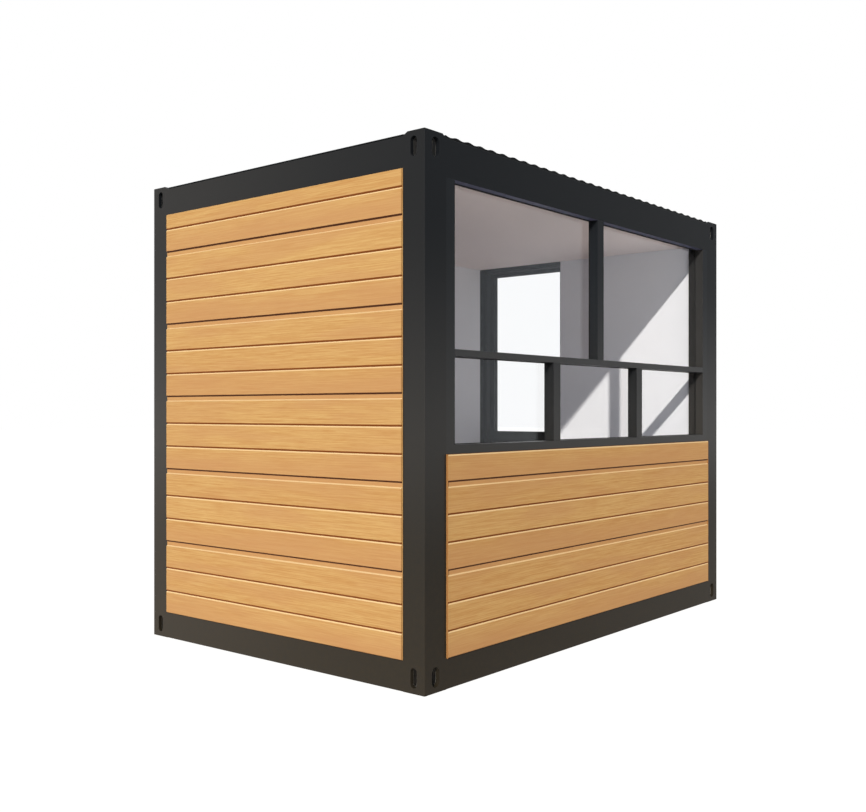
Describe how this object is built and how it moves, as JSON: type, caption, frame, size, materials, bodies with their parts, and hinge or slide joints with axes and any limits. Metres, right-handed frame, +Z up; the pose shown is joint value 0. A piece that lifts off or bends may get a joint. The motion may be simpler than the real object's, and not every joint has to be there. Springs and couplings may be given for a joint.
{
  "type": "security guard booth",
  "caption": "Guard booth with a dark steel corner frame, grooved wood-look cladding, a wide divided front window, a corrugated roof and a half-glazed end door.",
  "frame": {"origin": "centre of the footprint at ground level", "axes": "+X along the length to the door end, +Y to the back, +Z up; the wide window faces -Y"},
  "size_m": [3.06, 2.02, 2.5],
  "materials": {
    "frame_paint": "satin",
    "window_frame": "satin",
    "cladding": "satin",
    "lining": "matte",
    "floor_vinyl": "matte",
    "roof_steel": "satin",
    "glass": "clear",
    "hardware": "brushed"
  },
  "bodies": {
    "booth": {"front_left_post": "frame_paint", "front_right_post": "frame_paint", "back_left_post": "frame_paint", "back_right_post": "frame_paint", "front_bottom_rail": "frame_paint", "back_bottom_rail": "frame_paint", "left_bottom_rail": "frame_paint", "right_bottom_rail": "frame_paint", "front_top_rail": "frame_paint", "back_top_rail": "frame_paint", "left_top_rail": "frame_paint", "right_top_rail": "frame_paint", "top_corner_castings": "frame_paint", "bottom_corner_castings": "frame_paint", "floor_joists": "frame_paint", "front_window_sill": "window_frame", "front_window_head": "window_frame", "front_window_jambs": "window_frame", "window_transom": "window_frame", "upper_mullion": "window_frame", "lower_mullions": "window_frame", "door_threshold": "window_frame", "door_head": "window_frame", "door_jambs": "window_frame", "door_stops": "window_frame", "left_wall_cladding": "cladding", "back_wall_cladding": "cladding", "right_wall_cladding": "cladding", "front_wall_cladding": "cladding", "left_wall_panel": "lining", "back_wall_panel": "lining", "right_wall_panel": "lining", "front_wall_panel": "lining", "ceiling_panel": "lining", "floor_deck": "floor_vinyl", "roof_sheet": "roof_steel", "upper_panes": "glass", "lower_panes": "glass", "hinge_frame_knuckles": "hardware"},
    "door": {"door_stiles": "window_frame", "door_rails": "window_frame", "door_panel": "window_frame", "door_glass": "glass", "door_handles": "hardware", "hinge_leaf_knuckles": "hardware"}
  },
  "joints": [
    {"name": "door_hinge", "type": "hinge", "parent": "booth", "child": "door", "pos_m": [1.512, 0.8645, 0], "axis": [0, 0, 1], "range_deg": [0, 110]}
  ]
}
